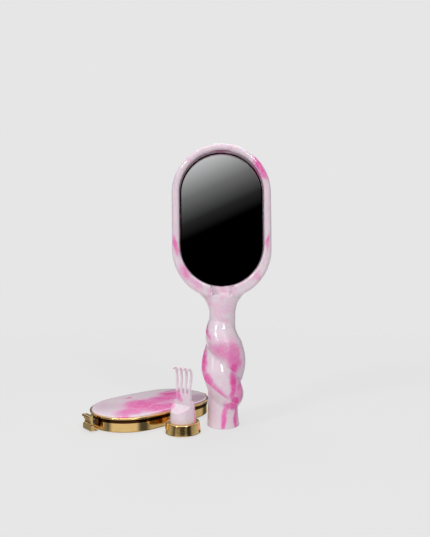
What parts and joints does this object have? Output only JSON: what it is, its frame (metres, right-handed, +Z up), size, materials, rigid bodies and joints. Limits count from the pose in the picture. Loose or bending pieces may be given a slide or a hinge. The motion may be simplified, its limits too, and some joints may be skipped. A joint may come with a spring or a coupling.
{
  "type": "hand mirror set",
  "caption": "Resin hand mirror with a deep oval tray head and twisted handle, a flat oval case that docks in the tray, and a fingered scratcher that plugs into the handle.",
  "frame": {"origin": "centre of the handle's end face, on the surface that the set stands on", "axes": "+Z up the handle to the head, glass faces -Y, +X to the right seen from the front"},
  "size_m": [0.1607, 0.1119, 0.24],
  "materials": {
    "resin": "gloss, marbled",
    "inlay": "gloss, marbled",
    "gold": "polished",
    "steel": "satin",
    "mirror": "polished",
    "felt": "matt",
    "foot_felt": "matt"
  },
  "bodies": {
    "mirror": {"mirror_body": "resin", "mirror_glass": "mirror", "mirror_pad": "felt"},
    "case": {"case_base": "gold", "case_liner": "felt", "hinge_pin": "steel", "latch_bracket": "gold", "latch_rivets": "steel"},
    "case_lid": {"case_lid": "gold", "case_inlay": "inlay", "lid_catch": "gold"},
    "latch": {"latch_tab": "gold"},
    "scratcher": {"scratcher_hand": "resin", "foot_collar": "gold", "foot_pad": "foot_felt", "foot_screw": "steel"}
  },
  "joints": [
    {"name": "case_lift", "type": "slide", "parent": "mirror", "child": "case", "axis": [0, 0, 1], "range_m": [0, 0.06]},
    {"name": "lid_hinge", "type": "hinge", "parent": "case", "child": "case_lid", "pos_m": [-0.02119, 0.06608, 0.01045], "axis": [-0.6561, 0.7547, 0], "range_deg": [0, 110]},
    {"name": "latch_flex", "type": "hinge", "parent": "case", "child": "latch", "pos_m": [-0.11006, -0.01117, 0.00335], "axis": [0.6561, -0.7547, 0], "range_deg": [0, 5], "stiffness_Nm_per_rad": 0.4},
    {"name": "insert_lift", "type": "slide", "parent": "mirror", "child": "scratcher", "axis": [0, 0, 1], "range_m": [0, 0.08]}
  ]
}
